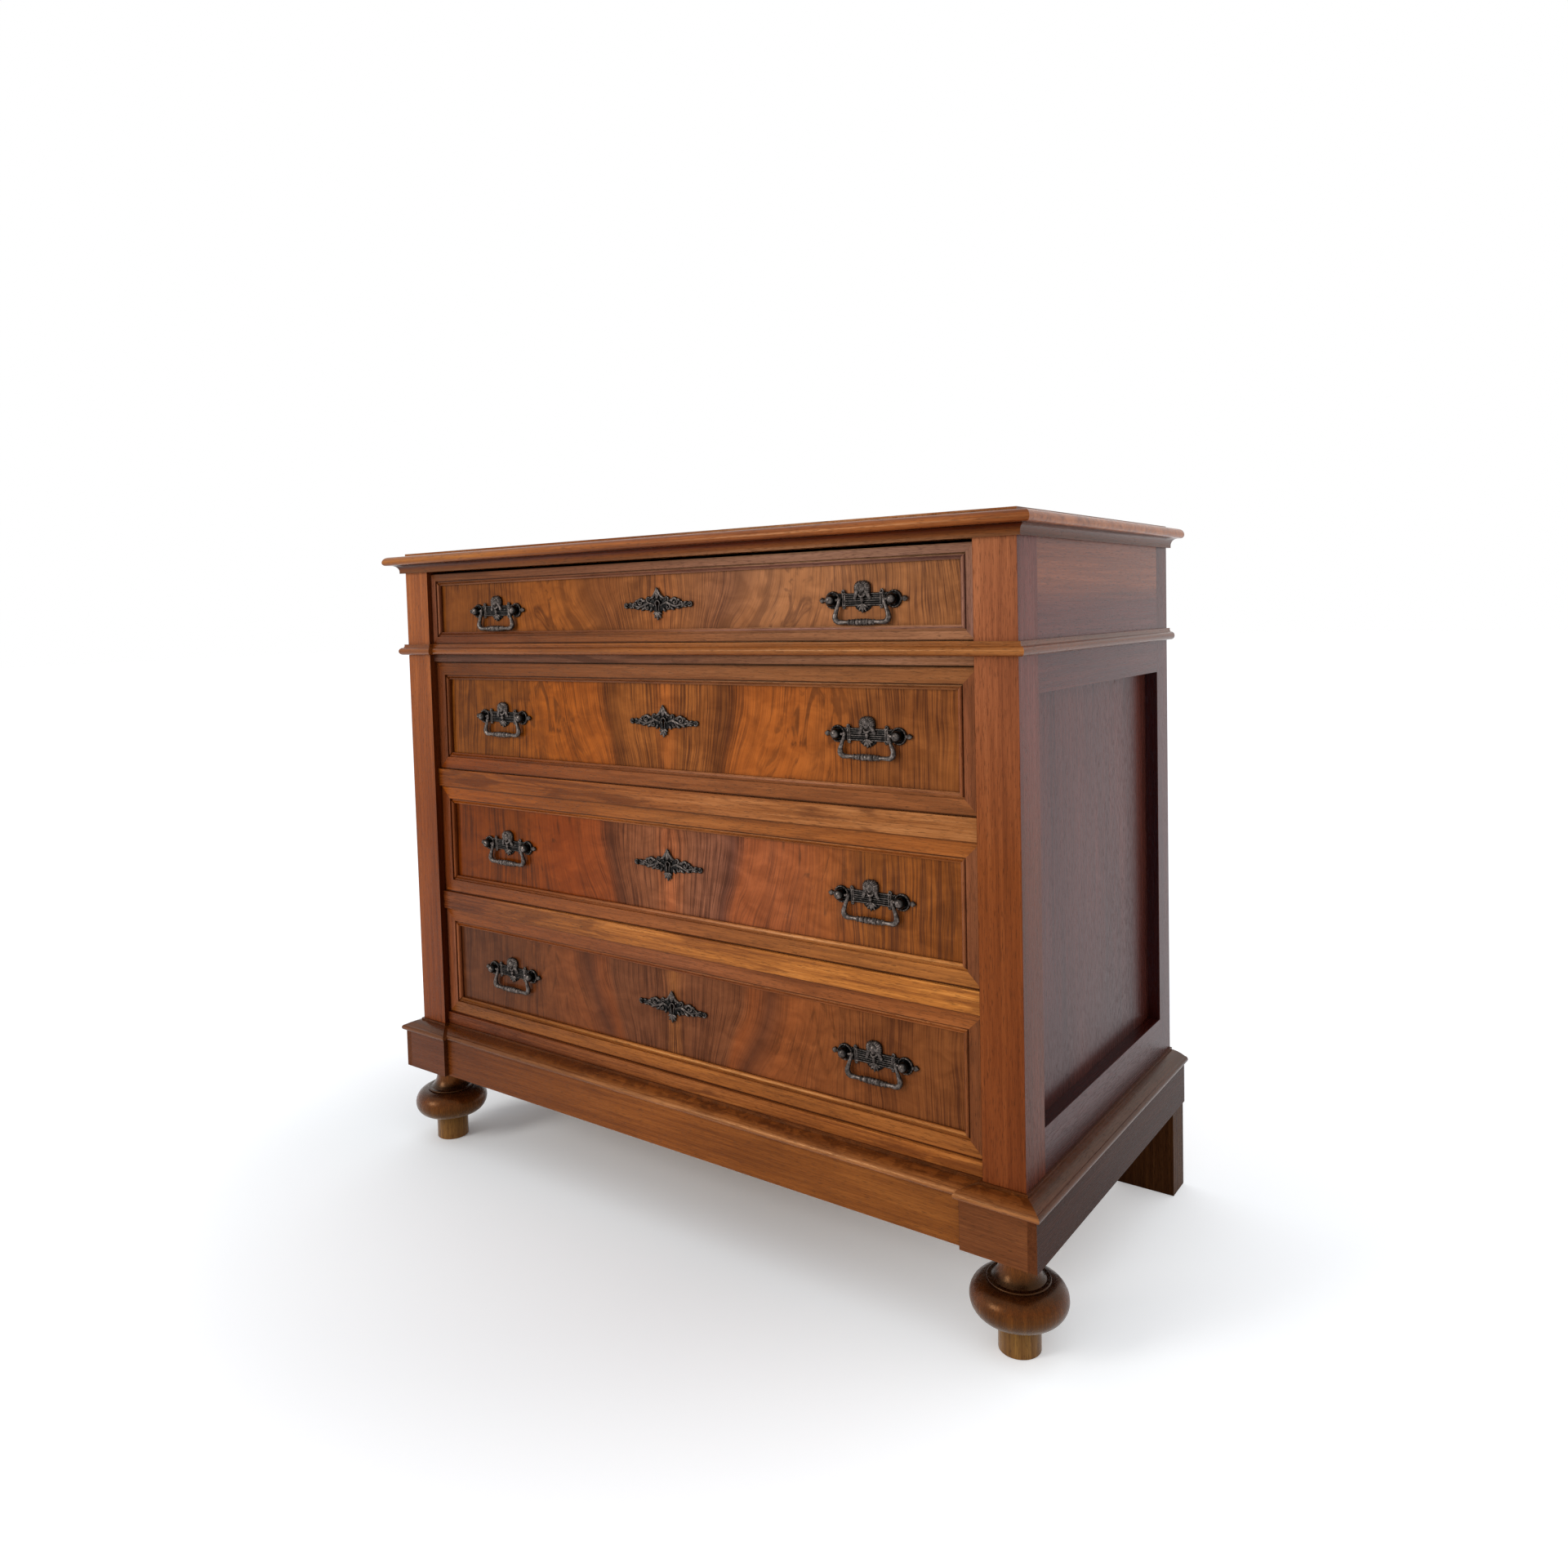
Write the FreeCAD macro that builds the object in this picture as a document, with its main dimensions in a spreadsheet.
import FreeCAD, Part
import math
import os
import Sketcher

# A late nineteenth century walnut chest of four long drawers.
# Millimetres. +Z is up, the front faces -Y and the width runs along X.
# The origin is on the floor, at the middle of the whole chest's width and depth. The front feet
# bulge out furthest, so the depth is counted from their front to the back.

DRIVING_SIZES = {
    # carcass
    "carcass_width": 1140,
    "carcass_depth": 552,
    "moulding_overhang": 28,
    "foot_height": 132.5,
    "plinth_height": 83,
    "lower_rail_height": 18.5,
    "lower_opening_height": 184.5,
    "drawer_rail_height": 29.5,
    "waist_rail_height": 31,
    "top_opening_height": 123,
    "top_rail_height": 14,
    "top_thickness": 19.5,
    # frame members
    "post_width": 57.5,
    "post_depth": 57,
    "rear_post_depth": 48,
    "side_thickness": 34,
    "side_panel_sink": 19,
    "side_panel_thickness": 10,
    "side_lower_rail_height": 141.5,
    "side_upper_rail_height": 56.5,
    "groove_depth": 8,
    "tongue_end_gap": 0.4,
    "rail_setback": 8,
    "rail_depth": 60,
    "tenon_length": 25,
    "tenon_depth": 30,
    "tenon_setback": 7.5,
    "tenon_shoulder": 3,
    "back_thickness": 12,
    "back_rebate_width": 18,
    "joint_clearance": 0.2,
    # top board and mouldings
    "top_field_step": 3.3,
    "top_ovolo_radius": 9.3,
    "top_nose_radius": 5.2,
    "cornice_lip_width": 7.2,
    "cornice_cove_radius": 10.5,
    "waist_moulding_height": 18,
    "waist_nose_radius": 6.2,
    "waist_fillet_width": 5,
    "waist_fillet_height": 3.1,
    "plinth_thickness": 22,
    "plinth_corner_lap": 12,
    "plinth_cap_height": 19.5,
    "cap_nose_radius": 4.75,
    "cap_shoulder_radius": 45,
    "cap_fillet_width": 3.2,
    "cap_fillet_height": 3.5,
    "cap_quirk_width": 1.6,
    # feet
    "foot_inset_side": 26,
    "foot_inset_front": 32,
    "foot_peg_radius": 26.6,
    "foot_bun_centre_radius": 39,
    "foot_bun_round": 22.3,
    "foot_bun_centre_height": 65.5,
    "foot_ring_radius": 38.2,
    "foot_ring_round": 1.6,
    "foot_flare_radius": 34,
    "foot_neck_radius": 23.5,
    "foot_neck_fall": 20,
    "foot_collar_radius": 26,
    "foot_collar_height": 8,
    "foot_collar_groove": 1.5,
    "foot_spigot_radius": 11,
    "foot_spigot_height": 40,
    "rear_foot_width": 89.5,
    "rear_foot_depth": 50,
    "rear_foot_inset": 2.5,
    # drawers
    "drawer_gap": 1,
    "front_rise": 0.6,
    "top_drawer_gap": 4.2,
    "running_clearance": 0.3,
    "lower_front_setback": 12.5,
    "top_front_setback": 7.5,
    "front_thickness": 22,
    "frame_thickness": 7.5,
    "lower_border_width": 20.5,
    "top_border_width": 11.5,
    "quirk_width": 2,
    "bead_radius": 2.9,
    "drawer_side_thickness": 13,
    "drawer_side_drop": 9,
    "drawer_back_drop": 6,
    "drawer_lap": 12,
    "bottom_thickness": 7,
    "bottom_rise": 10,
    "bottom_groove_depth": 6,
    "drawer_end_gap": 0.5,
    "runner_width": 46,
    "runner_thickness": 18,
    "guide_height": 24,
    # locks
    "lock_width": 60,
    "lock_below_keyhole": 20,
    "lock_depth": 12,
    "lock_wall": 2,
    "bolt_width": 20,
    "bolt_depth": 7,
    "bolt_above_keyhole": 8,
    "bolt_throw": 9,
    "bolt_clearance": 0.3,
    "bolt_mortise_clearance": 0.6,
    "keyhole_radius": 3,
    "keyhole_slot_width": 2.6,
    "keyhole_slot_length": 10,
    # handles
    "handle_spacing": 702,
    "lower_handle_rise": 2,
    "bail_border_gap": 1.1,
    "plate_thickness": 2.4,
    "plate_bar_length": 72,
    "plate_bar_height": 18,
    "plate_rib_spacing": 6,
    "plate_rib_height": 3,
    "plate_rib_rise": 1.2,
    "knob_spacing": 92,
    "boss_radius": 11,
    "boss_thickness": 3,
    "finial_length": 9.5,
    "finial_width": 9,
    "crest_radius": 3,
    "crest_spacing": 58,
    "crown_width": 23,
    "crown_height": 25,
    "crown_thickness": 4.2,
    "crown_top_width": 15.2,
    "crown_top_shoulder": 3,
    "crown_root_width": 18.4,
    "head_width": 12,
    "head_height": 16,
    "head_depth": 8.5,
    "head_rise": 14,
    "palmette_width": 23,
    "palmette_drop": 17.5,
    "palmette_root_width": 16.2,
    "palmette_widest_drop": 12.4,
    "palmette_tip_width": 13.8,
    "palmette_tip_rise": 1.7,
    "knob_radius": 8,
    "knob_reach": 6.4,
    "shank_radius": 2.4,
    "shank_clearance": 0.1,
    "shank_end_gap": 3,
    "pin_radius": 1.7,
    "pin_clearance": 0.06,
    "pin_length": 6.5,
    "pin_end_gap": 0.6,
    "bail_radius": 2.2,
    "bail_shoulder_span": 71,
    "bail_foot_span": 82,
    "bail_drop": 29,
    "bail_corner_radius": 7,
    "grip_length": 40,
    "grip_radius": 3.7,
    "grip_ring_radius": 4,
    "grip_ring_width": 2.4,
    "grip_inner_spacing": 24,
    # escutcheons
    "lower_escutcheon_rise": 8,
    "top_escutcheon_drop": 4,
    "escutcheon_thickness": 2,
    "escutcheon_length": 134,
    "escutcheon_peak": 22.5,
    "escutcheon_drop": 24,
    "shield_width": 24,
    "shield_foot_width": 12,
    "shield_foot_drop": 18,
    "escutcheon_arm_height": 9,
    "escutcheon_leaf_length": 67,
    "escutcheon_root_length": 60,
    "escutcheon_waist_length": 90,
    "escutcheon_waist_height": 9,
    "escutcheon_tip_height": 4,
    "escutcheon_tip_setback": 6.7,
    "escutcheon_pierce_radius": 2.4,
    "inner_pierce_spacing": 44,
    "outer_pierce_spacing": 72,
    "keyhole_rim_radius": 6.5,
    "keyhole_rim_rise": 0.8,
}

doc = FreeCAD.newDocument("chest_of_drawers")
sheet = doc.addObject("Spreadsheet::Sheet", "Sizes")
for row, (word, number) in enumerate(DRIVING_SIZES.items(), start=1):
    sheet.set(f"A{row}", word)
    sheet.set(f"B{row}", str(number))
    sheet.setAlias(f"B{row}", word)
doc.recompute()


class Size:
    """A length or a place: its formula in the sheet's words, and its present value in millimetres."""

    def __init__(self, formula, value):
        self.formula = formula
        self.value = value

    def __add__(self, other):
        other = as_size(other)
        return Size(f"({self.formula} + {other.formula})", self.value + other.value)

    def __sub__(self, other):
        other = as_size(other)
        return Size(f"({self.formula} - {other.formula})", self.value - other.value)

    def __mul__(self, other):
        other = as_size(other)
        return Size(f"({self.formula} * {other.formula})", self.value * other.value)

    def __truediv__(self, other):
        other = as_size(other)
        return Size(f"({self.formula} / {other.formula})", self.value / other.value)

    def __neg__(self):
        return Size(f"(0 - {self.formula})", -self.value)

    def leg(self, other):
        """The second short side of a right triangle that has this length as its longest side."""
        other = as_size(other)
        squares = f"{self.formula} * {self.formula} - {other.formula} * {other.formula}"
        return Size(f"sqrt({squares})", math.sqrt(self.value**2 - other.value**2))


def as_size(length):
    return length if isinstance(length, Size) else Size(f"({length})", float(length))


class DrivingSizes:
    """Gives each driving size by its word, as a Size."""

    def __getattr__(self, word):
        return Size(f"Sizes.{word}", float(sheet.get(word)))


size = DrivingSizes()
ZERO = as_size(0)


def bind(piece, field, length):
    piece.setExpression(field, as_size(length).formula)


def place(piece, x=ZERO, y=ZERO, z=ZERO):
    """Binds the piece's place to three formulas."""
    for axis, length in (("x", x), ("y", y), ("z", z)):
        bind(piece, f"Placement.Base.{axis}", length)
    return piece


# ---------------------------------------------------------------- solids and how they combine

def board(name, x, y, z):
    """A squared board between a low and a high place along each axis."""
    piece = doc.addObject("Part::Box", name)
    bind(piece, "Length", as_size(x[1]) - x[0])
    bind(piece, "Width", as_size(y[1]) - y[0])
    bind(piece, "Height", as_size(z[1]) - z[0])
    return place(piece, x[0], y[0], z[0])


TURN_TO_AXIS = {
    "X": FreeCAD.Rotation(FreeCAD.Vector(0, 1, 0), 90),
    "Y": FreeCAD.Rotation(FreeCAD.Vector(1, 0, 0), -90),
    "Z": FreeCAD.Rotation(),
}


def rod(name, axis, radius, span, x=ZERO, y=ZERO, z=ZERO):
    """A round rod between a low and a high place along one axis."""
    piece = doc.addObject("Part::Cylinder", name)
    bind(piece, "Radius", radius)
    bind(piece, "Height", as_size(span[1]) - span[0])
    piece.Placement = FreeCAD.Placement(FreeCAD.Vector(), TURN_TO_AXIS[axis])
    start = {"X": x, "Y": y, "Z": z}
    start[axis] = span[0]
    return place(piece, start["X"], start["Y"], start["Z"])


def joined(name, *solids):
    piece = doc.addObject("Part::MultiFuse", name)
    piece.Shapes = list(solids)
    piece.Refine = True
    return piece


def overlap(name, *solids):
    piece = doc.addObject("Part::MultiCommon", name)
    piece.Shapes = list(solids)
    return piece


def cut(name, base, *tools):
    """The base with every tool's space taken out of it."""
    piece = doc.addObject("Part::Cut", name)
    piece.Base = base
    piece.Tool = tools[0] if len(tools) == 1 else group(f"{name}_tools", *tools)
    return piece


def mirrored(name, source):
    """The source's mirror image to the other side of the chest's middle, or of its own."""
    piece = doc.addObject("Part::Mirroring", name)
    piece.Source = source
    piece.Normal = (1, 0, 0)
    return piece


def group(name, *solids):
    """Separate solids held together under one name."""
    piece = doc.addObject("Part::Compound", name)
    piece.Links = list(solids)
    return piece


def pair(name, left):
    """The left-hand piece and its mirror image."""
    return group(name, left, mirrored(f"{name}_right", left))


def copy_at(name, master, x=ZERO, y=ZERO, z=ZERO):
    """A copy of a piece that was modelled once, set in its own place."""
    return place(group(name, master), x, y, z)


# ---------------------------------------------------------------- outlines

def flat_vector(corner):
    return FreeCAD.Vector(as_size(corner[0]).value, as_size(corner[1]).value, 0)


def arc_between(start, end, radius):
    """The shorter arc from start to end. A positive radius has its centre on the left of the way."""
    half_chord = (end - start) * 0.5
    left = FreeCAD.Vector(-half_chord.y, half_chord.x, 0).normalize()
    side = math.copysign(1, radius)
    rise = math.sqrt(max(radius**2 - half_chord.Length**2, 0))
    centre = start + half_chord + left * rise * side
    middle = centre - left * abs(radius) * side
    return Part.Arc(start, middle, end)


def end_number(sketch, edge, corner):
    """1 where the edge's first point is at the corner, 2 where its second one is."""
    first = (sketch.getPoint(edge, 1) - corner).Length
    second = (sketch.getPoint(edge, 2) - corner).Length
    return 1 if first < second else 2


def hold(sketch, kind, length, *ends):
    """Adds one dimension to a sketch and binds it to its formula."""
    number = sketch.addConstraint(Sketcher.Constraint(kind, *ends, length.value))
    sketch.setExpression(f"Constraints[{number}]", length.formula)


def draw(sketch, corners, closed=True):
    """Draws lines from corner to corner. Where a corner has a third value, an arc of that radius
    arrives at it."""
    last = len(corners) - 1
    arriving = {}
    for index in range(0 if closed else 1, last + 1):
        start = flat_vector(corners[index - 1])
        end = flat_vector(corners[index])
        if len(corners[index]) == 3:
            radius = as_size(corners[index][2])
            edge = sketch.addGeometry(arc_between(start, end, radius.value), False)
            hold(sketch, "Radius", radius if radius.value > 0 else -radius, edge)
        else:
            edge = sketch.addGeometry(Part.LineSegment(start, end), False)
        arriving[index] = edge
    for index, corner in enumerate(corners):
        here = flat_vector(corner)
        edges = [arriving.get(index), arriving.get((index + 1) % (last + 1))]
        ends = [(edge, end_number(sketch, edge, here)) for edge in edges if edge is not None]
        if len(ends) == 2:
            sketch.addConstraint(Sketcher.Constraint("Coincident", *ends[0], *ends[1]))
        hold(sketch, "DistanceX", as_size(corner[0]), -1, 1, *ends[0])
        hold(sketch, "DistanceY", as_size(corner[1]), -1, 1, *ends[0])


def turned(profile, across, upward, flip):
    """A profile set in another place: two functions of its corners, and -1 where they mirror it."""
    corners = []
    for corner in profile:
        out, up = as_size(corner[0]), as_size(corner[1])
        radius = [as_size(corner[2]) * flip] if len(corner) == 3 else []
        corners.append((across(out, up), upward(out, up), *radius))
    return corners


def both_sides(right_half):
    """A whole outline from its right half, which starts and ends on the centre line."""
    first = (*right_half[0][:2], *right_half[1][2:])
    left_half = []
    for index in range(len(right_half) - 2, 0, -1):
        corner, after = right_half[index], right_half[index + 1]
        left_half.append((-as_size(corner[0]), corner[1], *after[2:]))
    return [first, *right_half[1:], *left_half]


def sketch_on(body, name, plane, corners, offset=ZERO, raised=ZERO, closed=True):
    """A sketch on one of the body's own origin planes."""
    sketch = body.newObject("Sketcher::SketchObject", name)
    support = [each for each in body.Origin.OriginFeatures if each.Role == plane][0]
    sketch.AttachmentSupport = [(support, "")]
    sketch.MapMode = "FlatFace"
    bind(sketch, "AttachmentOffset.Base.y", raised)
    bind(sketch, "AttachmentOffset.Base.z", offset)
    draw(sketch, corners, closed)
    return sketch


def prism(name, plane, corners, span):
    """A body that is one outline, carried from a low to a high place across its plane."""
    body = doc.addObject("PartDesign::Body", name)
    low, high = as_size(span[0]), as_size(span[1])
    # The XZ plane looks to the front, so its offsets count towards -Y.
    offset = -high if plane == "XZ_Plane" else low
    feature = body.newObject("PartDesign::Pad", f"{name}_pad")
    feature.Profile = sketch_on(body, f"{name}_outline", plane, corners, offset)
    bind(feature, "Length", high - low)
    return body


def revolved(name, plane, corners, axis, raised=ZERO):
    """A body that is one outline turned round its sketch's own axis."""
    body = doc.addObject("PartDesign::Body", name)
    sketch = sketch_on(body, f"{name}_outline", plane, corners, raised=raised)
    feature = body.newObject("PartDesign::Revolution", f"{name}_turning")
    feature.Profile = sketch
    feature.ReferenceAxis = (sketch, [axis])
    feature.Angle = 360
    return body


# ---------------------------------------------------------------- levels and faces

half_width = size.carcass_width / 2
foot_reach = size.foot_bun_centre_radius + size.foot_bun_round
back_y = (size.carcass_depth + foot_reach - size.foot_inset_front) / 2
front_y = back_y - size.carcass_depth
rail_y = front_y + size.rail_setback
rail_back_y = rail_y + size.rail_depth
post_back_y = front_y + size.post_depth
rear_post_y = back_y - size.rear_post_depth
back_panel_y = back_y - size.back_thickness
opening_half = half_width - size.post_width
side_inner_x = half_width - size.side_thickness

plinth_top = size.foot_height + size.plinth_height
cap_bottom = plinth_top - size.plinth_cap_height
bottom_opening = plinth_top + size.lower_rail_height
third_opening = bottom_opening + size.lower_opening_height + size.drawer_rail_height
second_opening = third_opening + size.lower_opening_height + size.drawer_rail_height
waist_bottom = second_opening + size.lower_opening_height
top_opening = waist_bottom + size.waist_rail_height
top_rail_bottom = top_opening + size.top_opening_height
carcass_top = top_rail_bottom + size.top_rail_height
chest_top = carcass_top + size.top_thickness
side_board_bottom = top_opening - size.waist_moulding_height / 2
side_rail_bottom = side_board_bottom - size.side_upper_rail_height
side_rail_top = size.foot_height + size.side_lower_rail_height

nodes = []


def node(label, piece):
    """Marks a finished sub-part, which is written to its own file."""
    piece.Label = label
    nodes.append(piece)
    return piece


# ---------------------------------------------------------------- top board

field_edge_z = chest_top - size.top_field_step
top_nose_z = carcass_top + size.top_nose_radius
top_shoulder_z = top_nose_z + size.top_ovolo_radius
overhang = size.moulding_overhang

# The edge as (distance out from the carcass, height), from the underside up to the raised field.
top_edge = [
    (overhang - size.top_nose_radius, carcass_top),
    (overhang, top_nose_z, size.top_nose_radius),
    (overhang - size.top_ovolo_radius, top_shoulder_z, size.top_ovolo_radius),
    (ZERO, field_edge_z),
    (ZERO, chest_top),
]
top_right_edge = turned(top_edge, lambda out, up: half_width + out, lambda out, up: up, 1)
top_across = both_sides([(ZERO, carcass_top), *top_right_edge, (ZERO, chest_top)])
top_front_edge = turned(top_edge, lambda out, up: front_y - out, lambda out, up: up, -1)
top_along = [(back_y, chest_top), (back_y, carcass_top), *top_front_edge]
node("top_board", overlap(
    "top_board",
    prism("top_ends", "XZ_Plane", top_across, (front_y - overhang, back_y)),
    prism("top_front", "YZ_Plane", top_along, (-half_width - overhang, half_width + overhang)),
))


# ---------------------------------------------------------------- applied mouldings
# A profile is (distance out from the wood behind it, height). A strip is the space shared by the
# profile carried along its face and the plan, which gives the mitred ends.

def front_strip(name, base_y, profile, plan, heights):
    """A strip on a face that looks to -Y."""
    section = turned(profile, lambda out, up: base_y - out, lambda out, up: up, -1)
    run = prism(f"{name}_run", "YZ_Plane", section, (-half_width - overhang, half_width + overhang))
    return overlap(name, run, prism(f"{name}_plan", "XY_Plane", plan, heights))


def side_strip(name, base_x, outward, profile, plan, heights):
    """A strip on a face that looks to +X or -X, as outward is 1 or -1."""
    section = turned(profile, lambda out, up: base_x + out * outward, lambda out, up: up, outward)
    run = prism(f"{name}_run", "XZ_Plane", section, (front_y - overhang, back_y + overhang))
    return overlap(name, run, prism(f"{name}_plan", "XY_Plane", plan, heights))


def moulding_round_pilasters(name, profile, bottom, top):
    """A moulding along both sides and the front, which breaks forward round the two pilasters."""
    heights = (bottom - overhang, top + overhang)
    corner = (-half_width, front_y)
    corner_tip = (-half_width - overhang, front_y - overhang)
    pilaster = (-opening_half, front_y)
    pilaster_tip = (-opening_half + overhang, front_y - overhang)
    recess = (-opening_half, rail_y)
    recess_tip = (-opening_half + overhang, rail_y - overhang)
    side_plan = [corner, corner_tip, (-half_width - overhang, back_y), (-half_width, back_y)]
    right_recess = [(-point[0], point[1]) for point in (recess_tip, recess)]
    left = [
        side_strip(f"{name}_side", -half_width, -1, profile, side_plan, heights),
        front_strip(f"{name}_pilaster", front_y, profile,
                    [corner, corner_tip, pilaster_tip, pilaster], heights),
        side_strip(f"{name}_return", -opening_half, 1, profile,
                   [pilaster, pilaster_tip, recess_tip, recess], heights),
    ]
    right = [mirrored(f"{piece.Name}_right", piece) for piece in left]
    middle = front_strip(f"{name}_middle", rail_y, profile,
                         [recess, recess_tip, *right_recess], heights)
    return group(name, *left, middle, *right)


waist_nose = size.waist_nose_radius
waist_moulding_bottom = top_opening - size.waist_moulding_height
waist_profile = [
    (ZERO, waist_moulding_bottom),
    (waist_nose, waist_moulding_bottom),
    (waist_nose * 2, waist_moulding_bottom + waist_nose, waist_nose),
    (waist_nose, waist_moulding_bottom + waist_nose * 2, waist_nose),
    (size.waist_fillet_width, top_opening - size.waist_fillet_height),
    (size.waist_fillet_width, top_opening),
    (ZERO, top_opening),
]
node("waist_moulding", moulding_round_pilasters(
    "waist_moulding", waist_profile, waist_moulding_bottom, top_opening))

cap_nose = size.cap_nose_radius
cap_fillet_z = plinth_top - size.cap_fillet_height
cap_profile = [
    (ZERO, cap_bottom),
    (overhang - cap_nose, cap_bottom),
    (overhang, cap_bottom + cap_nose, cap_nose),
    (overhang - cap_nose, cap_bottom + cap_nose * 2, cap_nose),
    (size.cap_fillet_width + size.cap_quirk_width, cap_fillet_z, size.cap_shoulder_radius),
    (size.cap_fillet_width, cap_fillet_z),
    (size.cap_fillet_width, plinth_top),
    (ZERO, plinth_top),
]
node("plinth_moulding", moulding_round_pilasters(
    "plinth_moulding", cap_profile, cap_bottom, plinth_top))

cove = size.cornice_cove_radius
cove_bottom = carcass_top - cove
cornice_profile = [
    (ZERO, top_rail_bottom),
    (size.cornice_lip_width, top_rail_bottom),
    (size.cornice_lip_width, cove_bottom),
    (size.cornice_lip_width + cove, carcass_top, -cove),
    (ZERO, carcass_top),
]
cornice_heights = (top_rail_bottom - overhang, carcass_top + overhang)
left_corner = [(-half_width, front_y), (-half_width - overhang, front_y - overhang)]
right_corner = [(half_width + overhang, front_y - overhang), (half_width, front_y)]
cornice_side = side_strip(
    "cornice_side", -half_width, -1, cornice_profile,
    [*left_corner, (-half_width - overhang, back_y), (-half_width, back_y)], cornice_heights)
cornice_front = front_strip(
    "cornice_front", front_y, cornice_profile, [*left_corner, *right_corner], cornice_heights)
node("cornice_moulding", group(
    "cornice_moulding", cornice_side, mirrored("cornice_right", cornice_side), cornice_front))


# ---------------------------------------------------------------- posts, rails and sides

clearance = size.joint_clearance
tongue_x = (-half_width + size.side_panel_sink,
            -half_width + size.side_panel_sink + size.side_panel_thickness)
groove_x = (tongue_x[0] - clearance, tongue_x[1] + clearance)
tongue_length = size.groove_depth - size.tongue_end_gap
tenon_y = (rail_y + size.tenon_setback, rail_y + size.tenon_setback + size.tenon_depth)
mortise_y = (tenon_y[0] - clearance, tenon_y[1] + clearance)
foot_x = -half_width + size.foot_inset_side
foot_y = front_y + size.foot_inset_front
lock_centre_offset = size.lock_depth / 2


def core_back(setback):
    """The back of a drawer front that stands this far behind the pilasters."""
    return front_y + setback + size.frame_thickness + size.front_thickness


def rail(name, y_front, z, setback_below):
    """A rail tenoned into both front posts, with the mortise for the lock bolt below it."""
    shoulder = size.tenon_shoulder
    between = board(f"{name}_board", (-opening_half, opening_half), (y_front, rail_back_y), z)
    reach = opening_half + size.tenon_length
    tenons = board(f"{name}_tenons", (-reach, reach), tenon_y, (z[0] + shoulder, z[1] - shoulder))
    whole = joined(f"{name}_tenoned", between, tenons)
    if setback_below is None:
        return whole
    middle_y = core_back(setback_below) - lock_centre_offset
    half_bolt_x = size.bolt_width / 2 + size.bolt_mortise_clearance
    half_bolt_y = size.bolt_depth / 2 + size.bolt_mortise_clearance
    mortise = board(
        f"{name}_bolt_mortise", (-half_bolt_x, half_bolt_x),
        (middle_y - half_bolt_y, middle_y + half_bolt_y),
        (z[0], z[0] + size.bolt_throw + size.bolt_clearance))
    return cut(name, whole, mortise)


rail_levels = {
    "lower_rail": (cap_bottom, bottom_opening),
    "third_rail": (third_opening - size.drawer_rail_height, third_opening),
    "second_rail": (second_opening - size.drawer_rail_height, second_opening),
    "waist_rail": (waist_bottom, top_opening),
    "top_rail": (top_rail_bottom, carcass_top),
}
node("lower_rail", rail("lower_rail", rail_y, rail_levels["lower_rail"], None))
node("drawer_rails", group(
    "drawer_rails",
    rail("third_rail", rail_y, rail_levels["third_rail"], size.lower_front_setback),
    rail("second_rail", rail_y, rail_levels["second_rail"], size.lower_front_setback)))
node("waist_rail", rail("waist_rail", rail_y, rail_levels["waist_rail"], size.lower_front_setback))
node("top_rail", rail("top_rail", front_y, rail_levels["top_rail"], size.top_front_setback))

mortise_x = (-opening_half - size.tenon_length - clearance, -opening_half)
mortises = [
    board(f"{name}_mortise", mortise_x, mortise_y,
          (z[0] + size.tenon_shoulder - clearance, z[1] - size.tenon_shoulder + clearance))
    for name, z in rail_levels.items()
]
front_post = cut(
    "front_post",
    board("front_post_board", (-half_width, -opening_half), (front_y, post_back_y),
          (size.foot_height, carcass_top)),
    board("front_post_groove", groove_x, (post_back_y - size.groove_depth, post_back_y),
          (size.foot_height, carcass_top)),
    rod("spigot_hole", "Z", size.foot_spigot_radius + clearance,
        (size.foot_height, size.foot_height + size.foot_spigot_height + clearance),
        foot_x, foot_y),
    *mortises)
node("front_posts", pair("front_posts", front_post))

rebate_x = (-side_inner_x - size.back_rebate_width, -side_inner_x)
rear_post = cut(
    "rear_post",
    board("rear_post_board", (-half_width, -side_inner_x), (rear_post_y, back_y),
          (size.foot_height, carcass_top)),
    board("rear_post_groove", groove_x, (rear_post_y, rear_post_y + size.groove_depth),
          (size.foot_height, carcass_top)),
    board("back_rebate", rebate_x, (back_panel_y, back_y), (size.foot_height, carcass_top)))
node("rear_posts", pair("rear_posts", rear_post))
node("back_panel", board("back_panel", (rebate_x[0], -rebate_x[0]), (back_panel_y, back_y),
                         (size.foot_height, carcass_top)))

side_x = (-half_width, -side_inner_x)
side_y = (post_back_y, rear_post_y)
tongue_y = (post_back_y - tongue_length, rear_post_y + tongue_length)


def side_member(name, z):
    """A board of the side, with a tongue at each end in the posts' grooves."""
    return joined(name, board(f"{name}_board", side_x, side_y, z),
                  board(f"{name}_tongues", tongue_x, tongue_y, z))


node("side_upper_boards", pair(
    "side_upper_boards", side_member("side_upper_board", (side_board_bottom, carcass_top))))
side_upper_rail = cut(
    "side_upper_rail",
    side_member("side_upper_rail_whole", (side_rail_bottom, side_board_bottom)),
    board("upper_panel_groove", groove_x, tongue_y,
          (side_rail_bottom, side_rail_bottom + size.groove_depth)))
side_lower_rail = cut(
    "side_lower_rail",
    side_member("side_lower_rail_whole", (size.foot_height, side_rail_top)),
    board("lower_panel_groove", groove_x, tongue_y,
          (side_rail_top - size.groove_depth, side_rail_top)))
node("side_frame_rails", group(
    "side_frame_rails", side_upper_rail, side_lower_rail,
    mirrored("side_upper_rail_right", side_upper_rail),
    mirrored("side_lower_rail_right", side_lower_rail)))
node("side_panels", pair("side_panels", board(
    "side_panel", tongue_x, tongue_y,
    (side_rail_top - size.groove_depth, side_rail_bottom + tongue_length))))


# ---------------------------------------------------------------- runners

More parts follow.
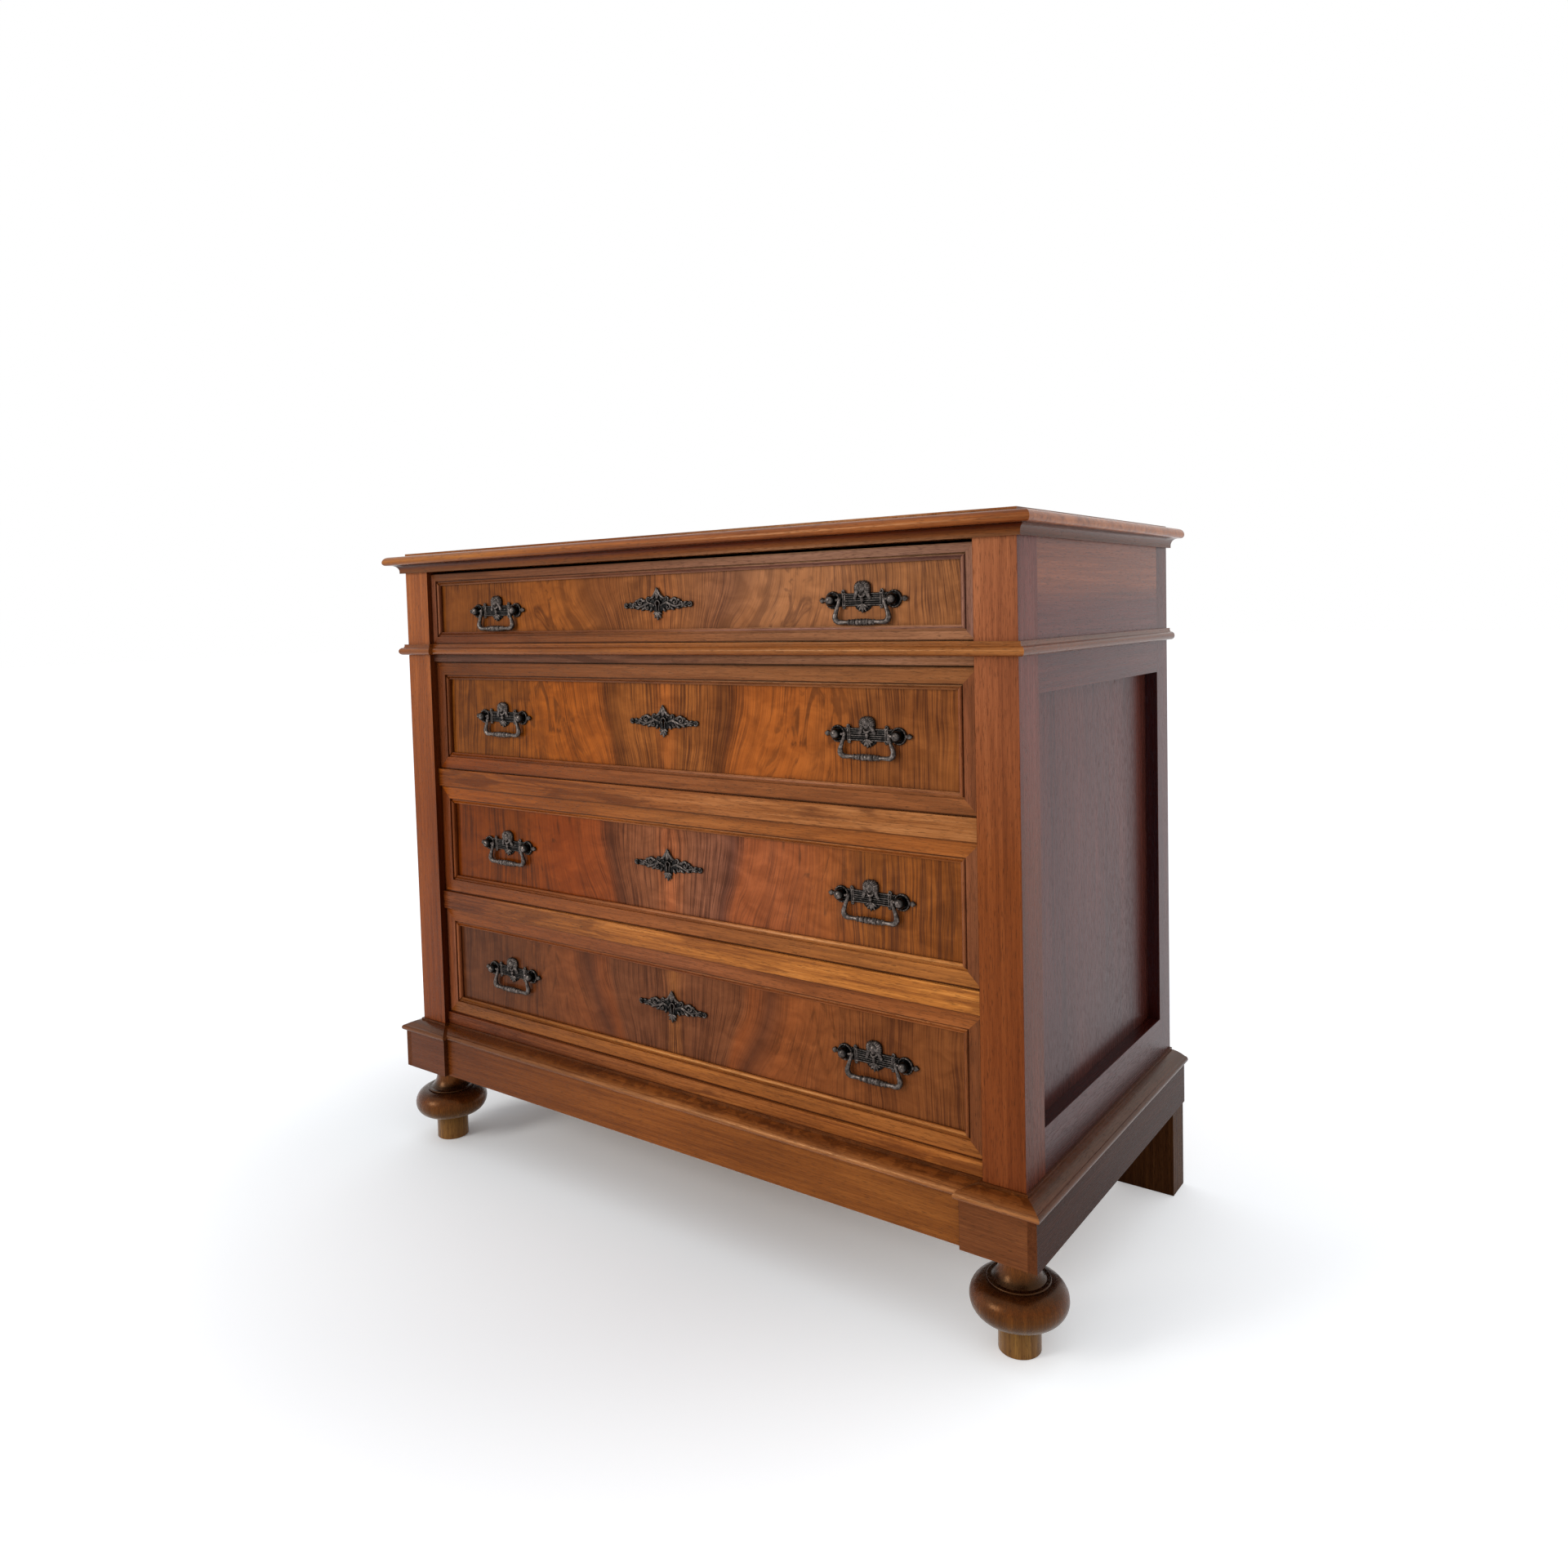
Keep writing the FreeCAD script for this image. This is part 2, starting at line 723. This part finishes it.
def runner(name, opening):
    """A bearer under the drawer's side, with a guide beside it."""
    y = (rail_back_y, back_panel_y)
    bearer = board(f"{name}_bearer", (-side_inner_x, -side_inner_x + size.runner_width), y,
                   (opening - size.runner_thickness, opening))
    guide = board(f"{name}_guide", (-side_inner_x, -opening_half), y,
                  (opening, opening + size.guide_height))
    return joined(name, bearer, guide)


openings = {
    "top": top_opening, "second": second_opening, "third": third_opening, "bottom": bottom_opening,
}
left_runners = [runner(f"{name}_runner", opening) for name, opening in openings.items()]
right_runners = [mirrored(f"{piece.Name}_right", piece) for piece in left_runners]
node("drawer_runners", group("drawer_runners", *left_runners, *right_runners))


# ---------------------------------------------------------------- plinth and feet

plinth_z = (size.foot_height, cap_bottom)
proud = size.plinth_thickness
block_x = (-half_width - proud + size.plinth_corner_lap, -opening_half + proud)
block_y = (front_y - proud, front_y)
node("plinth_front", board("plinth_front", (block_x[1], -block_x[1]),
                           (rail_y - proud, rail_y), plinth_z))
node("plinth_blocks", pair("plinth_blocks", board("plinth_block", block_x, block_y, plinth_z)))
node("plinth_sides", pair("plinth_sides", cut(
    "plinth_side",
    board("plinth_side_board", (-half_width - proud, -half_width), (block_y[0], back_y), plinth_z),
    board("block_rebate", (block_x[0], -half_width), block_y, plinth_z))))

bun_round = size.foot_bun_round
bun_centre_r = size.foot_bun_centre_radius
bun_centre_z = size.foot_bun_centre_height
ring = size.foot_ring_round
ring_z = bun_centre_z + bun_round.leg(size.foot_ring_radius - bun_centre_r)
ring_top = ring_z + ring * 2
neck_z = size.foot_height - size.foot_neck_fall
collar_z = size.foot_height - size.foot_collar_height
collar_groove = size.foot_collar_groove
collar_groove_z = collar_z + (size.foot_collar_height - collar_groove) / 2
flare_out = size.foot_flare_radius - size.foot_neck_radius
flare_up = neck_z - ring_top
flare_round = (flare_out * flare_out + flare_up * flare_up) / (flare_out * 2)
foot_profile = [
    (ZERO, ZERO),
    (size.foot_peg_radius, ZERO),
    (size.foot_peg_radius, bun_centre_z - bun_round.leg(bun_centre_r - size.foot_peg_radius)),
    (bun_centre_r + bun_round, bun_centre_z, bun_round),
    (size.foot_ring_radius, ring_z, bun_round),
    (size.foot_ring_radius + ring, ring_z + ring, ring),
    (size.foot_ring_radius, ring_top, ring),
    (size.foot_flare_radius, ring_top),
    (size.foot_neck_radius, neck_z, -flare_round),
    (size.foot_neck_radius, collar_z),
    (size.foot_collar_radius, collar_z),
    (size.foot_collar_radius, collar_groove_z),
    (size.foot_collar_radius - collar_groove, collar_groove_z),
    (size.foot_collar_radius - collar_groove, collar_groove_z + collar_groove),
    (size.foot_collar_radius, collar_groove_z + collar_groove),
    (size.foot_collar_radius, size.foot_height),
    (size.foot_spigot_radius, size.foot_height),
    (size.foot_spigot_radius, size.foot_height + size.foot_spigot_height),
    (ZERO, size.foot_height + size.foot_spigot_height),
]
front_foot = revolved("front_foot", "XZ_Plane", foot_profile, "V_Axis")
node("front_feet", pair("front_feet", place(front_foot, foot_x, foot_y)))

rear_foot_x = -half_width - proud + size.rear_foot_inset
node("rear_feet", pair("rear_feet", board(
    "rear_foot", (rear_foot_x, rear_foot_x + size.rear_foot_width),
    (back_y - size.rear_foot_depth, back_y), (ZERO, size.foot_height))))


# ---------------------------------------------------------------- handle
# Modelled round its own origin, which is on the drawer's panel, midway between the knobs.
# The bail turns about the line through both knobs.

half_bar = size.plate_bar_height / 2
half_knobs = size.knob_spacing / 2
half_crown = size.crown_width / 2
lap = size.plate_thickness

# The bar carries a fan of leaves below and a headdress above.
bar_outline = both_sides([
    (ZERO, half_bar),
    (size.plate_bar_length / 2, half_bar),
    (size.plate_bar_length / 2, -half_bar),
    (size.palmette_root_width / 2, -half_bar),
    (size.palmette_width / 2, -size.palmette_widest_drop),
    (size.palmette_tip_width / 2, -size.palmette_drop + size.palmette_tip_rise),
    (ZERO, -size.palmette_drop),
])
crown_outline = both_sides([
    (ZERO, size.crown_height),
    (size.crown_top_width / 2, size.crown_height - size.crown_top_shoulder, -half_crown),
    (half_crown, half_bar + lap),
    (size.crown_root_width / 2, half_bar - lap),
    (ZERO, half_bar - lap),
])
finial_tip_x = half_knobs + size.boss_radius + size.finial_length
finial_x = half_knobs + size.boss_radius - lap
half_finial = size.finial_width / 2
finial_round = size.finial_length * 2
finial_outline = [
    (finial_tip_x, ZERO, -finial_round),
    (finial_x, -half_finial, -finial_round),
    (finial_x, half_finial),
]
rib_reach = half_knobs - size.boss_radius
rib_half = size.plate_rib_height / 2
rib_front = -size.plate_thickness - size.plate_rib_rise
ribs = [
    board(f"{word}_rib", (-rib_reach, rib_reach), (rib_front, ZERO),
          (size.plate_rib_spacing * step - rib_half, size.plate_rib_spacing * step + rib_half))
    for word, step in (("lower", -1), ("middle", 0), ("upper", 1))
]
finial = prism("finial", "XZ_Plane", finial_outline, (-size.plate_thickness, ZERO))
boss = rod("boss", "Y", size.boss_radius, (-size.boss_thickness, ZERO), x=half_knobs)
crest = rod("crest", "Y", size.crest_radius, (-size.boss_thickness, ZERO),
            x=size.crest_spacing / 2, z=half_bar + size.crest_radius / 2)
head = doc.addObject("Part::Ellipsoid", "head_mass")
bind(head, "Radius1", size.head_height / 2)
bind(head, "Radius2", size.head_width / 2)
bind(head, "Radius3", size.head_depth - size.plate_thickness)
place(head, ZERO, -size.plate_thickness, size.head_rise)
head_front = cut("head_front", head, board(
    "behind_plate", (-size.crown_width, size.crown_width), (ZERO, size.crown_width),
    (ZERO, size.crown_height * 2)))
shank_hole = rod("plate_shank_hole", "Y", size.shank_radius + size.shank_clearance,
                 (-size.boss_thickness * 2, size.boss_thickness), x=half_knobs)
handle_plate = cut(
    "handle_plate",
    joined("handle_plate_whole",
           prism("plate_bar", "XZ_Plane", bar_outline, (-size.plate_thickness, ZERO)),
           prism("crown", "XZ_Plane", crown_outline, (-size.crown_thickness, ZERO)),
           *ribs, head_front, boss, mirrored("boss_left", boss), crest,
           mirrored("crest_left", crest), finial, mirrored("finial_left", finial)),
    shank_hole, mirrored("plate_shank_hole_left", shank_hole))

# The knob is a ball that stands on the boss, with a shank through the drawer front.
shank_reach = size.front_thickness - size.shank_end_gap
ball_foot = size.knob_radius.leg(size.knob_reach - size.boss_thickness)
knob_profile = [
    (ZERO, shank_reach),
    (ZERO, -size.knob_reach - size.knob_radius),
    (size.knob_radius, -size.knob_reach, size.knob_radius),
    (ball_foot, -size.boss_thickness, size.knob_radius),
    (size.shank_radius, -size.boss_thickness),
    (size.shank_radius, shank_reach),
]
knob_turned = place(revolved("knob_turned", "XY_Plane", knob_profile, "V_Axis"), half_knobs)
pin_tip = size.bail_shoulder_span / 2 + size.pin_length
pin_hole = rod("pin_hole", "X", size.pin_radius + size.pin_clearance,
               (half_knobs - size.knob_radius * 2, pin_tip + size.pin_end_gap), y=-size.knob_reach)
knob = cut("knob", knob_turned, pin_hole)
handle_fixed = group("handle_fixed", handle_plate, knob, mirrored("knob_left", knob))

# The bail: modelled as its right half, round the line through the knobs.
shoulder_x = size.bail_shoulder_span / 2
bail_foot_x = size.bail_foot_span / 2
bail_corner = size.bail_corner_radius
rod_body = doc.addObject("PartDesign::Body", "bail_rod")
corner_path = [
    (ZERO, -size.bail_drop),
    (bail_foot_x - bail_corner, -size.bail_drop),
    (bail_foot_x, -size.bail_drop + bail_corner, bail_corner),
    (shoulder_x, ZERO),
]
rod_path = sketch_on(rod_body, "bail_path", "XZ_Plane", corner_path, closed=False)
rod_section = rod_body.newObject("Sketcher::SketchObject", "bail_section")
yz_plane = [each for each in rod_body.Origin.OriginFeatures if each.Role == "YZ_Plane"][0]
rod_section.AttachmentSupport = [(yz_plane, "")]
rod_section.MapMode = "FlatFace"
circle = Part.Circle(FreeCAD.Vector(0, -size.bail_drop.value, 0), FreeCAD.Vector(0, 0, 1),
                     size.bail_radius.value)
edge = rod_section.addGeometry(circle, False)
hold(rod_section, "Radius", size.bail_radius, edge)
hold(rod_section, "DistanceX", ZERO, -1, 1, edge, 3)
hold(rod_section, "DistanceY", -size.bail_drop, -1, 1, edge, 3)
rod_pipe = rod_body.newObject("PartDesign::AdditivePipe", "bail_rod_pipe")
rod_pipe.Profile = rod_section
rod_pipe.Spine = rod_path

half_grip = size.grip_length / 2
ring_width = size.grip_ring_width
inner_ring_x = size.grip_inner_spacing / 2
grip_r = size.grip_radius
grip_ring_r = size.grip_ring_radius
grip_profile = [
    (ZERO, ZERO),
    (half_grip, ZERO),
    (half_grip, grip_ring_r),
    (half_grip - ring_width, grip_ring_r),
    (half_grip - ring_width, grip_r),
    (inner_ring_x + ring_width, grip_r),
    (inner_ring_x + ring_width, grip_ring_r),
    (inner_ring_x, grip_ring_r),
    (inner_ring_x, grip_r),
    (ZERO, grip_r),
]
grip = revolved("grip", "XZ_Plane", grip_profile, "H_Axis", raised=-size.bail_drop)
elbow = doc.addObject("Part::Sphere", "elbow")
bind(elbow, "Radius", size.bail_radius)
place(elbow, shoulder_x)
pin = rod("pin", "X", size.pin_radius, (shoulder_x, pin_tip))
bail_half = joined("bail_half", rod_body, grip, elbow, pin)
bail = joined("bail", bail_half, mirrored("bail_left_half", bail_half))


# ---------------------------------------------------------------- escutcheon
# Modelled round its keyhole, on the drawer's panel.

def keyhole(name, centre_z, y):
    """The space of a keyhole: a round hole with a slot below it."""
    half_slot = size.keyhole_slot_width / 2
    return [
        rod(f"{name}_hole", "Y", size.keyhole_radius, y, z=centre_z),
        board(f"{name}_slot", (-half_slot, half_slot), y,
              (centre_z - size.keyhole_slot_length, centre_z)),
    ]


arm = size.escutcheon_arm_height
tip_x = size.escutcheon_length / 2
waist = (size.escutcheon_waist_length / 2, size.escutcheon_waist_height / 2)
escutcheon_outline = both_sides([
    (ZERO, size.escutcheon_peak),
    (size.shield_width / 2, arm),
    (size.escutcheon_leaf_length / 2, arm),
    waist,
    (tip_x, size.escutcheon_tip_height / 2),
    (tip_x - size.escutcheon_tip_setback, -size.escutcheon_tip_height),
    (waist[0], -waist[1]),
    (size.escutcheon_root_length / 2, -arm),
    (size.shield_width / 2, -arm),
    (size.shield_foot_width / 2, -size.shield_foot_drop),
    (ZERO, -size.escutcheon_drop),
])
pierce_y = (-size.escutcheon_thickness * 2, size.escutcheon_thickness)
pierce_r = size.escutcheon_pierce_radius
pierced = [
    rod("pierced_inner", "Y", pierce_r, pierce_y, x=size.inner_pierce_spacing / 2),
    rod("pierced_outer", "Y", pierce_r, pierce_y, x=size.outer_pierce_spacing / 2),
]
rim_y = (-size.escutcheon_thickness - size.keyhole_rim_rise, ZERO)
escutcheon = cut(
    "escutcheon",
    joined("escutcheon_whole",
           prism("escutcheon_leaf", "XZ_Plane", escutcheon_outline,
                 (-size.escutcheon_thickness, ZERO)),
           rod("keyhole_rim", "Y", size.keyhole_rim_radius, rim_y)),
    *pierced, *[mirrored(f"{piece.Name}_left", piece) for piece in pierced],
    *keyhole("escutcheon_keyhole", ZERO, pierce_y))


# ---------------------------------------------------------------- drawers
# Modelled with z = 0 at the floor of the opening and y where the closed drawer stands.

def frame_strips(name, core_y, border, x_left, z):
    """Four mitred strips round the panel, each a flat border, a quirk and a bead."""
    thick = size.frame_thickness
    bead = size.bead_radius
    bead_z = thick - bead
    bead_start = border + size.quirk_width
    width = bead_start + bead * 2
    profile = [
        (ZERO, ZERO),
        (width, ZERO),
        (width, bead_z),
        (bead_start + bead, thick, bead),
        (bead_start, bead_z, bead),
        (border, bead_z),
        (border, thick),
        (ZERO, thick),
    ]
    low, high = z
    through = (core_y - thick * 2, core_y + thick)
    along = (x_left - thick, -x_left + thick)
    upright = (low - thick, high + thick)
    corners = {
        "low_left": (x_left, low), "high_left": (x_left, high),
        "low_right": (-x_left, low), "high_right": (-x_left, high),
        "low_in": (x_left + width, low + width), "high_in": (x_left + width, high - width),
        "low_in_right": (-x_left - width, low + width),
        "high_in_right": (-x_left - width, high - width),
    }

    def strip(part, plane, section, span, plan):
        run = prism(f"{name}_{part}_run", plane, section, span)
        ends = prism(f"{name}_{part}_plan", "XZ_Plane", [corners[word] for word in plan], through)
        return overlap(f"{name}_{part}", run, ends)

    def out(over, up):
        return core_y - up

    upper = turned(profile, out, lambda over, up: high - over, 1)
    lower = turned(profile, out, lambda over, up: low + over, -1)
    side = turned(profile, lambda over, up: x_left + over, out, -1)
    left = strip("left", "XY_Plane", side, upright, ("low_left", "low_in", "high_in", "high_left"))
    return group(
        name,
        strip("upper", "YZ_Plane", upper, along,
              ("high_left", "high_in", "high_in_right", "high_right")),
        strip("lower", "YZ_Plane", lower, along,
              ("low_left", "low_in", "low_in_right", "low_right")),
        left,
        mirrored(f"{name}_right", left),
    )


def drawer_masters(name, opening_height, setback, border, gap_above, handle_z, keyhole_z):
    """Every piece of one kind of drawer, as a table from the piece's word to its solid."""
    core_y = front_y + setback + size.frame_thickness
    core_back_y = core_back(setback)
    rear_y = back_panel_y - size.drawer_end_gap
    left_x = -opening_half + size.drawer_gap
    inner_x = left_x + size.drawer_side_thickness
    front_z = (size.front_rise, opening_height - gap_above)
    side_z = (size.running_clearance, opening_height - size.drawer_side_drop)
    side_along = (core_back_y - size.drawer_lap, rear_y)
    floor_z = (side_z[0] + size.bottom_rise, side_z[0] + size.bottom_rise + size.bottom_thickness)
    groove_z = (floor_z[0] - clearance, floor_z[1])
    groove_left = inner_x - size.bottom_groove_depth
    groove_front = core_back_y - size.bottom_groove_depth
    handle_x = size.handle_spacing / 2

    shank_r = size.shank_radius + size.shank_clearance
    shank_y = (core_y, core_back_y - size.shank_end_gap + clearance)
    shank_holes = [
        rod(f"{name}_shank_hole_{side}_{end}", "Y", shank_r, shank_y,
            x=handle_x * side + half_knobs * end, z=handle_z)
        for side in (-1, 1) for end in (-1, 1)
    ]
    half_lock = size.lock_width / 2
    lock_y = (core_back_y - size.lock_depth, core_back_y)
    lock_z = (keyhole_z - size.lock_below_keyhole, front_z[1])
    front = cut(
        f"{name}_front",
        board(f"{name}_front_board", (left_x, -left_x), (core_y, core_back_y), front_z),
        board(f"{name}_lap_left", (left_x, inner_x), (side_along[0], core_back_y), side_z),
        board(f"{name}_lap_right", (-inner_x, -left_x), (side_along[0], core_back_y), side_z),
        board(f"{name}_front_groove", (groove_left, -groove_left), (groove_front, core_back_y),
              groove_z),
        board(f"{name}_lock_seat", (-half_lock, half_lock), lock_y, lock_z),
        *keyhole(f"{name}_keyhole", keyhole_z, (core_y, core_back_y)),
        *shank_holes)

    side = cut(
        f"{name}_side",
        board(f"{name}_side_board", (left_x, inner_x), side_along, side_z),
        board(f"{name}_side_groove", (groove_left, inner_x), (groove_front, rear_y), groove_z))
    back = board(
        f"{name}_back", (inner_x, -inner_x), (rear_y - size.drawer_side_thickness, rear_y),
        (floor_z[1], side_z[1] - size.drawer_back_drop))
    box = group(f"{name}_box", side, mirrored(f"{name}_side_right", side), back)
    bottom_left = groove_left + clearance
    bottom = board(f"{name}_bottom", (bottom_left, -bottom_left),
                   (groove_front + clearance, rear_y), floor_z)

    wall = size.lock_wall
    bolt_y_middle = core_back_y - lock_centre_offset
    half_bolt_x = size.bolt_width / 2
    half_bolt_y = size.bolt_depth / 2
    slack = size.bolt_clearance
    lock_case = cut(
        f"{name}_lock_case",
        board(f"{name}_lock_block", (-half_lock, half_lock), lock_y, lock_z),
        board(f"{name}_lock_hollow", (-half_lock + wall, half_lock - wall),
              (lock_y[0] + wall, lock_y[1] - wall), (lock_z[0] + wall, lock_z[1] - wall)),
        board(f"{name}_bolt_way", (-half_bolt_x - slack, half_bolt_x + slack),
              (bolt_y_middle - half_bolt_y - slack, bolt_y_middle + half_bolt_y + slack),
              (lock_z[1] - wall * 2, lock_z[1])),
        *keyhole(f"{name}_lock_keyhole", keyhole_z, (lock_y[0], lock_y[0] + wall)))
    bolt = board(
        f"{name}_bolt", (-half_bolt_x, half_bolt_x),
        (bolt_y_middle - half_bolt_y, bolt_y_middle + half_bolt_y),
        (keyhole_z + size.bolt_above_keyhole, front_z[1]))

    def handle_copies(part, master, y):
        return [
            copy_at(f"{name}_{part}_{side}", master, handle_x * sign, y, handle_z)
            for side, sign in (("left", -1), ("right", 1))
        ]

    left_bail, right_bail = handle_copies("bail", bail, core_y - size.knob_reach)
    return {
        "front": front,
        "frame": frame_strips(f"{name}_frame", core_y, border, left_x, front_z),
        "box": box,
        "bottom": bottom,
        "handle_plates": group(f"{name}_handle_plates",
                               *handle_copies("plate", handle_fixed, core_y)),
        "escutcheon": copy_at(f"{name}_escutcheon", escutcheon, ZERO, core_y, keyhole_z),
        "lock_case": lock_case,
        "lock_bolt": bolt,
        "left_bail": left_bail,
        "right_bail": right_bail,
    }


lower_middle = size.lower_opening_height / 2
top_middle = size.top_opening_height / 2
# In the shallow top drawer the hanging bail clears the frame's lower bead.
top_field_z = size.front_rise + size.top_border_width + size.quirk_width + size.bead_radius * 2
top_handle_z = top_field_z + size.bail_border_gap + size.grip_ring_radius + size.bail_drop
lower_masters = drawer_masters(
    "lower", size.lower_opening_height, size.lower_front_setback, size.lower_border_width,
    size.drawer_gap, lower_middle + size.lower_handle_rise,
    lower_middle + size.lower_escutcheon_rise)
top_masters = drawer_masters(
    "upper", size.top_opening_height, size.top_front_setback, size.top_border_width,
    size.top_drawer_gap, top_handle_z, top_middle - size.top_escutcheon_drop)
for drawer, opening in openings.items():
    masters = top_masters if drawer == "top" else lower_masters
    for word, master in masters.items():
        label = f"{drawer}_drawer_{word}"
        node(label, copy_at(label, master, z=opening))


# ---------------------------------------------------------------- checking and writing

doc.recompute()
broken = [
    each.Name for each in doc.Objects if "Invalid" in each.State or "Error" in each.State
]
if broken:
    raise ValueError(f"these features failed: {broken}")
for piece in nodes:
    shape = piece.Shape
    if shape.isNull() or not shape.isValid() or not shape.Solids:
        raise ValueError(f"{piece.Label} has no sound shape")

os.makedirs("parts", exist_ok=True)
for piece in nodes:
    solids = piece.Shape.Solids
    whole = solids[0] if len(solids) == 1 else Part.makeCompound(solids)
    whole.exportStep(f"parts/{piece.Label}.step")
    print(piece.Label, len(solids), round(whole.Volume))
